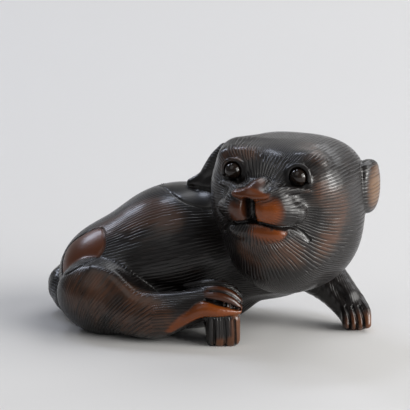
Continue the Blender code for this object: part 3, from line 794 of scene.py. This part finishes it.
def bead(name, side):
    """Sphere: with turn s and rise t, point = centre + r (cos s cos t, sin s cos t, sin t)."""
    turn = np.linspace(0, 2 * math.pi, 48, endpoint=False)
    rise = np.linspace(-math.pi / 2, math.pi / 2, 25)[1:-1]
    s, t = np.meshgrid(turn, rise)
    ball = np.stack([np.cos(s) * np.cos(t), np.sin(s) * np.cos(t), np.sin(t)], axis=-1).reshape(-1, 3)
    ball = np.vstack([ball, [(0, 0, -1), (0, 0, 1)]])
    rows, columns = s.shape
    k = np.arange(rows * columns).reshape(rows, columns)
    n = np.roll(k, -1, axis=1)
    band = np.stack([k[:-1], n[:-1], n[1:], k[1:]], axis=-1).reshape(-1, 4).tolist()
    ends = np.stack([n[0], k[0], np.full(columns, len(ball) - 2)], axis=1).tolist()
    ends += np.stack([k[-1], n[-1], np.full(columns, len(ball) - 1)], axis=1).tolist()
    centre = HEAD + HEAD_AXES @ (EYE * (side, 1, 1)) - MIDDLE
    mesh = bpy.data.meshes.new(name)
    mesh.from_pydata(((centre + EYE_RADIUS * ball) * MM).tolist(), [], band + ends)
    mesh.shade_smooth()
    made = bpy.data.objects.new(name, mesh)
    bpy.context.scene.collection.objects.link(made)
    return made


dark_horn, horn, horn_shader = new_finish("dark_horn")
cloud = horn.node("ShaderNodeTexCoord", output="Object").noise(1500, 2)
feed(horn_shader, Base_Color=cloud.tint((0.004, 0.0035, 0.003, 1), (0.022, 0.012, 0.008, 1)),
     Roughness=0.08 + cloud * 0.05, IOR=1.45, Coat_Weight=0.1, Coat_Roughness=0.04)
for name, side, solid in (("right_bead", -1, "right_eye_inlay"), ("left_bead", 1, "left_eye_inlay")):
    eye = bead(name, side)
    eye.data.materials.append(dark_horn)
    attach(eye, "root")
    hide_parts(solid)


# The table and the light
# A pale sheet that lies flat under the netsuke and sweeps up behind it, soft light from both sides and above,
# and a pale room.
def sweep():
    """Flat until 0.16 m behind the origin, then a quarter turn of 0.6 m radius: (s, y(t), z(t))."""
    rows = 40
    flat_end = 0.16
    radius = 0.6
    s, t = np.meshgrid(np.linspace(-1.2, 1.2, 2), np.linspace(0, 1, rows))
    turn = (t - 0.5) * math.pi
    y = np.where(t < 0.5, -1.0 + (1.0 + flat_end) * t / 0.5, flat_end + radius * np.sin(turn))
    z = np.where(t < 0.5, 0.0, radius * (1 - np.cos(turn)))
    k = np.arange(2 * rows).reshape(rows, 2)
    faces = np.stack([k[:-1, 0], k[:-1, 1], k[1:, 1], k[1:, 0]], axis=1)
    mesh = bpy.data.meshes.new("pale_sheet")
    mesh.from_pydata(np.stack([s, y, z], axis=-1).reshape(-1, 3).tolist(), [], faces.tolist())
    mesh.shade_smooth()
    made = bpy.data.objects.new("pale_sheet", mesh)
    bpy.context.scene.collection.objects.link(made)
    return made


pale_paper, _, paper_shader = new_finish("pale_paper")
feed(paper_shader, Base_Color=(0.70, 0.69, 0.68, 1), Roughness=0.8)
pale_sheet = sweep()
pale_sheet.data.materials.append(pale_paper)


def panel_light(name, place, size, watts, colour):
    """Soft panel that faces the netsuke: Z away from it, X level."""
    lamp = bpy.data.lights.new(name, "AREA")
    lamp.shape = "RECTANGLE"
    lamp.size, lamp.size_y = size
    lamp.energy = watts
    lamp.color = colour
    made = bpy.data.objects.new(name, lamp)
    made.location = place
    z = np.array(place) - (0, 0, 0.015)
    z /= np.linalg.norm(z)
    x = np.cross((0, 0, 1), z)
    x /= np.linalg.norm(x)
    made.rotation_euler = Matrix(np.stack([x, np.cross(z, x), z], axis=1).tolist()).to_euler()
    bpy.context.scene.collection.objects.link(made)


panel_light("ceiling_panel", (0.26, 0.36, 0.46), (0.5, 0.4), 1.5, (0.97, 0.98, 1.0))
panel_light("front_window", (-0.22, -0.28, 0.5), (0.4, 0.5), 0.4, (1.0, 0.99, 0.97))
panel_light("left_lamp", (-0.26, 0.26, 0.27), (0.07, 0.1), 0.25, (0.78, 0.84, 1.0))
panel_light("ceiling_lamp", (-0.09, 0.2, 0.39), (0.12, 0.06), 0.25, (0.78, 0.84, 1.0))
panel_light("side_window", (0.44, -0.15, 0.19), (0.56, 0.36), 3.0, (1.0, 0.99, 0.96))
panel_light("right_lamp", (0.39, -0.12, 0.09), (0.14, 0.12), 0.7, (1.0, 0.99, 0.97))
room = bpy.data.worlds.new("pale_room")
room.use_nodes = True
room.node_tree.nodes["Background"].inputs[0].default_value = (0.93, 0.96, 1.0, 1)
room.node_tree.nodes["Background"].inputs[1].default_value = 0.14
bpy.context.scene.world = room
bpy.context.scene.view_settings.view_transform = "Standard"

# The lens is chosen so that the picture spans 51.25 mm where the netsuke is.
lens = bpy.data.cameras.new("camera")
distance = 300
lens.sensor_width = 36
lens.lens = lens.sensor_width * distance / 51.25
lens.clip_start = 0.01
lens.clip_end = 10
camera = bpy.data.objects.new("camera", lens)
tilt = math.radians(13)
aim = np.array([-1.0, 0.0, 15.3]) - MIDDLE
camera.location = (aim + distance * np.array([0, -math.cos(tilt), math.sin(tilt)])) * MM
camera.rotation_euler = (math.pi / 2 - tilt, 0, 0)
bpy.context.scene.collection.objects.link(camera)
bpy.context.scene.camera = camera
